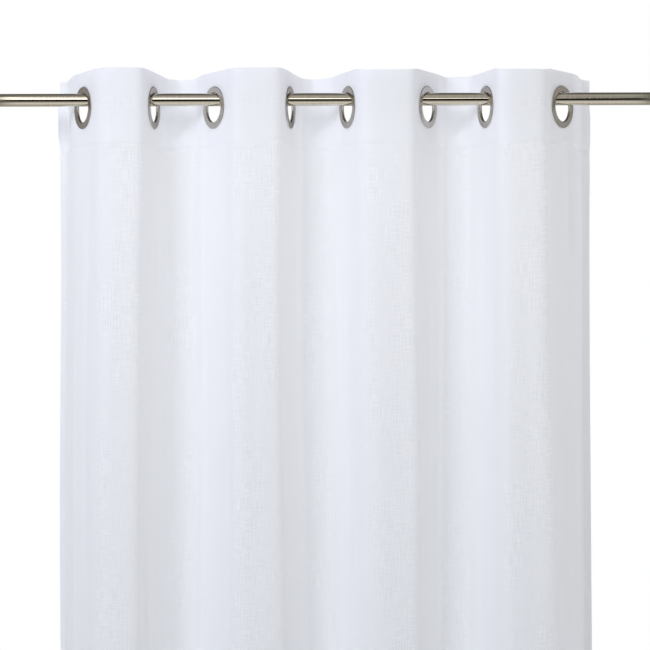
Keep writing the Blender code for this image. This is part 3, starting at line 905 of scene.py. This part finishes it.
def build_world():
    world = bpy.data.worlds.new("studio")
    bpy.context.scene.world = world
    world.use_nodes = True
    nt = world.node_tree
    nt.nodes.clear()

    def add(kind, settings=None, **inputs):
        node = nt.nodes.new(kind)
        for key, value in (settings or {}).items():
            setattr(node, key, value)
        for key, value in inputs.items():
            socket = node.inputs[int(key[1:])] if key[0] == "i" and key[1:].isdigit() else \
                node.inputs[key.replace("_", " ")]
            if isinstance(value, bpy.types.NodeSocket):
                nt.links.new(value, socket)
            else:
                socket.default_value = value
        return node

    def calc(operation, a, b=0.0, clamp=False):
        return add("ShaderNodeMath", {"operation": operation, "use_clamp": clamp},
                   i0=a, i1=b).outputs[0]

    def step(value, low, high):
        return add("ShaderNodeMapRange", {"interpolation_type": "SMOOTHSTEP"}, i0=value, i1=low,
                   i2=high, i3=0.0, i4=1.0).outputs[0]

    way = add("ShaderNodeTexCoord").outputs["Generated"]
    xyz = add("ShaderNodeSeparateXYZ", Vector=way)
    x, y, z = xyz.outputs
    soft = None
    for _, ax, ay, az, power, red, green, blue in DOME:
        facing = add("ShaderNodeVectorMath", {"operation": "DOT_PRODUCT"}, i0=way, i1=(ax, ay, az))
        lobe = calc("MAXIMUM", facing.outputs["Value"], 0.0)
        if power != 1.0:
            lobe = calc("POWER", lobe, power)
        lobe = add("ShaderNodeVectorMath", {"operation": "SCALE"}, i0=(red, green, blue),
                   Scale=lobe).outputs[0]
        soft = lobe if soft is None else add("ShaderNodeVectorMath", {"operation": "ADD"},
                                             i0=soft, i1=lobe).outputs[0]
    around = calc("DIVIDE", calc("ARCTAN2", z, calc("MULTIPLY", y, -1.0)), 2 * math.pi)
    ramp = add("ShaderNodeValToRGB", i0=calc("ADD", around, 0.5))
    stops = ramp.color_ramp.elements
    for n, (at, grey) in enumerate(MIRRORED):
        spot = (at + 180) / 360
        stop = stops[0] if n == 0 else (stops[-1] if n == len(MIRRORED) - 1 else stops.new(spot))
        stop.position = spot
        stop.color = (grey / 2, grey / 2, grey / 2, 1.0)
    # the strip lamp over the viewer is widest at the left and stops at the right
    shine = calc("MULTIPLY", ramp.outputs[0], 2.0)
    angle = calc("MULTIPLY", around, 360.0)
    left = calc("MULTIPLY", calc("MAXIMUM", calc("MULTIPLY", x, -1.0), 0.0), STRIP["rise_left"])
    right = calc("MULTIPLY", calc("MAXIMUM", x, 0.0), STRIP["rise_right"])
    top = calc("ADD", calc("SUBTRACT", left, right), STRIP["high"])
    inside = calc("MULTIPLY", step(angle, STRIP["low"] - 1.5, STRIP["low"] + 1.5),
                  step(calc("SUBTRACT", top, angle), -2.0, 2.0))
    inside = calc("MULTIPLY", inside, step(x, STRIP["ends_at"] + 0.02, STRIP["ends_at"] - 0.02))
    shine = calc("ADD", shine, calc("MULTIPLY", inside, STRIP["bright"]))
    side = calc("ABSOLUTE", x)
    far = step(side, 0.19, 0.24)
    glint = calc("MULTIPLY", step(side, 0.50, 0.58), step(side, 0.78, 0.70))
    barrels = calc("ADD", calc("MULTIPLY", glint, SIDES["glint"]), SIDES["front"])
    steep = calc("MULTIPLY", step(calc("ABSOLUTE", z), 0.30, 0.75), SIDES["falloff"])
    grey = add("ShaderNodeMapRange", i0=x, i1=-0.2, i2=0.2, i3=SIDES["left"],
               i4=SIDES["right"]).outputs[0]
    behind = step(y, -0.12, 0.12)
    grey = calc("ADD", calc("MULTIPLY", grey, behind),
                calc("MULTIPLY", barrels, calc("SUBTRACT", 1.0, behind)))
    grey = calc("MULTIPLY", grey, calc("SUBTRACT", 1.0, steep))
    shine = calc("ADD", calc("MULTIPLY", shine, calc("SUBTRACT", 1.0, far)),
                 calc("MULTIPLY", grey, far))
    path = add("ShaderNodeLightPath")
    diffuse = add("ShaderNodeBackground", Color=soft, Strength=1.0)
    mirror = add("ShaderNodeBackground", Color=(1.0, 0.965, 0.905, 1.0), Strength=shine)
    paper = add("ShaderNodeBackground", Color=(1.0, 1.0, 1.0, 1.0), Strength=1.0)
    one = add("ShaderNodeMixShader", i0=path.outputs["Is Glossy Ray"], i1=diffuse.outputs[0],
              i2=mirror.outputs[0])
    two = add("ShaderNodeMixShader", i0=path.outputs["Is Camera Ray"], i1=one.outputs[0],
              i2=paper.outputs[0])
    add("ShaderNodeOutputWorld", Surface=two.outputs[0])


def build_lamps():
    for name, x, y, z, width, height, watts, red, green, blue in LAMPS:
        data = bpy.data.lights.new(name, 'AREA')
        data.shape = 'RECTANGLE'
        data.size, data.size_y = width, height
        data.energy = watts
        data.color = (red, green, blue)
        lamp = bpy.data.objects.new(name, data)
        lamp.location = (x, y, z)
        lamp.rotation_mode = 'QUATERNION'
        aim = Vector((0.5, 0.0, -0.25))
        lamp.rotation_quaternion = (aim - Vector((x, y, z))).to_track_quat('-Z', 'Y')
        lamp.visible_glossy = False
        lamp.visible_camera = False
        bpy.context.scene.collection.objects.link(lamp)


def build_floor(mat):
    bm = bmesh.new()
    cells, half = 12, 3.0
    grid = [[bm.verts.new((0.5 - half + 2 * half * i / cells, -half + 2 * half * j / cells, -2.40))
             for i in range(cells + 1)] for j in range(cells + 1)]
    for j in range(cells):
        for i in range(cells):
            bm.faces.new((grid[j][i], grid[j][i + 1], grid[j + 1][i + 1], grid[j + 1][i]))
    mesh = bpy.data.meshes.new("floor")
    bm.to_mesh(mesh)
    bm.free()
    floor = new_object("floor", mesh, mat)
    floor.visible_glossy = False


def build_camera():
    data = bpy.data.cameras.new("camera")
    data.sensor_width = 36.0
    data.lens = 108.0
    data.clip_start, data.clip_end = 0.05, 60.0
    camera = bpy.data.objects.new("camera", data)
    camera.location = EYE
    camera.rotation_euler = (math.radians(90), math.radians(ROLL), 0.0)
    bpy.context.scene.collection.objects.link(camera)
    bpy.context.scene.camera = camera


def main():
    scene = bpy.context.scene
    scene.view_settings.view_transform = 'Standard'
    scene.view_settings.look = 'None'
    # light wanders many times between the folds and faces of pale cloth
    scene.cycles.max_bounces = 24
    scene.cycles.diffuse_bounces = 20
    scene.cycles.transmission_bounces = 20
    scene.cycles.transparent_max_bounces = 16
    build_camera()
    build_world()
    build_lamps()
    mats = {
        "voile": cloth_material("voile_weave", False),
        "heading": cloth_material("heading_weave", True),
        "nickel": nickel_material("satin_nickel"),
        "steel": steel_material("brushed_steel"),
    }
    build_floor(floor_material("pale_floor"))
    rings = build_eyelets(mats)
    rod = build_rod(mats)
    panel, band = build_cloth(mats)
    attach(panel, "root")
    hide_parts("panel")
    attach(band, "root")
    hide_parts("heading_band")


main()
